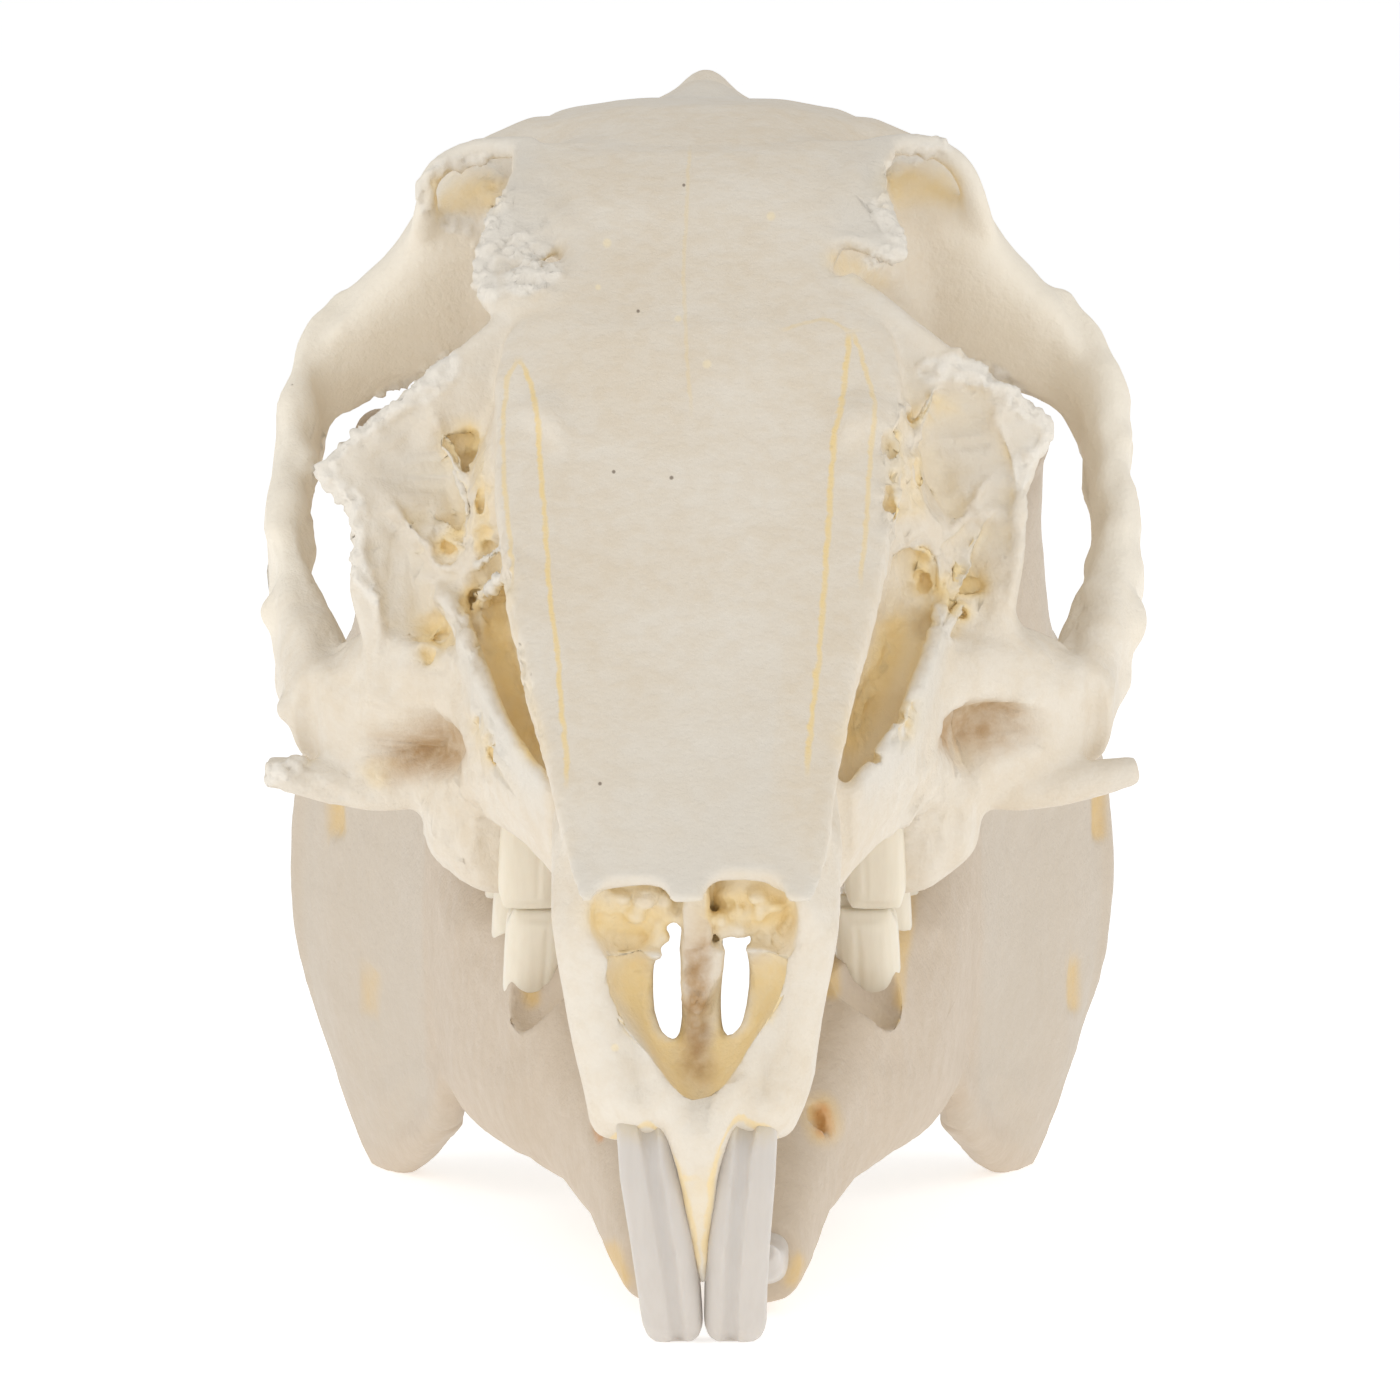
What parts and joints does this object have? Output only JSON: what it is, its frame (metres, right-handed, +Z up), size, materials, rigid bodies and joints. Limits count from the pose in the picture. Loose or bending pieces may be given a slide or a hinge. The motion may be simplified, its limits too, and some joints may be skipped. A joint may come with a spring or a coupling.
{
  "type": "rabbit skull",
  "caption": "Dry rabbit skull with cranium, two lower jaw halves and loose-fitting teeth, resting nose-down on its incisors and jaw heels.",
  "frame": {"origin": "on the surface the skull rests on, under the middle of its bounding box", "axes": "+Z up, -Y the way the nose points, +X to the viewer's right when the nose points at the viewer"},
  "size_m": [0.043, 0.0808, 0.0568],
  "materials": {
    "bone": "dry ivory bone, matte",
    "tooth": "white enamel, satin"
  },
  "bodies": {
    "root": {"cranium": "bone", "lower_jaw_right": "bone", "lower_jaw_left": "bone", "upper_incisor_right": "tooth", "upper_incisor_left": "tooth", "peg_tooth_right": "tooth", "peg_tooth_left": "tooth", "lower_incisor_right": "tooth", "lower_incisor_left": "tooth", "upper_cheek_tooth_right_1": "tooth", "upper_cheek_tooth_right_2": "tooth", "upper_cheek_tooth_right_3": "tooth", "upper_cheek_tooth_right_4": "tooth", "upper_cheek_tooth_right_5": "tooth", "upper_cheek_tooth_right_6": "tooth", "upper_cheek_tooth_left_1": "tooth", "upper_cheek_tooth_left_2": "tooth", "upper_cheek_tooth_left_3": "tooth", "upper_cheek_tooth_left_4": "tooth", "upper_cheek_tooth_left_5": "tooth", "upper_cheek_tooth_left_6": "tooth", "lower_cheek_tooth_right_1": "tooth", "lower_cheek_tooth_right_2": "tooth", "lower_cheek_tooth_right_3": "tooth", "lower_cheek_tooth_right_4": "tooth", "lower_cheek_tooth_right_5": "tooth", "lower_cheek_tooth_left_1": "tooth", "lower_cheek_tooth_left_2": "tooth", "lower_cheek_tooth_left_3": "tooth", "lower_cheek_tooth_left_4": "tooth", "lower_cheek_tooth_left_5": "tooth"}
  },
  "joints": []
}
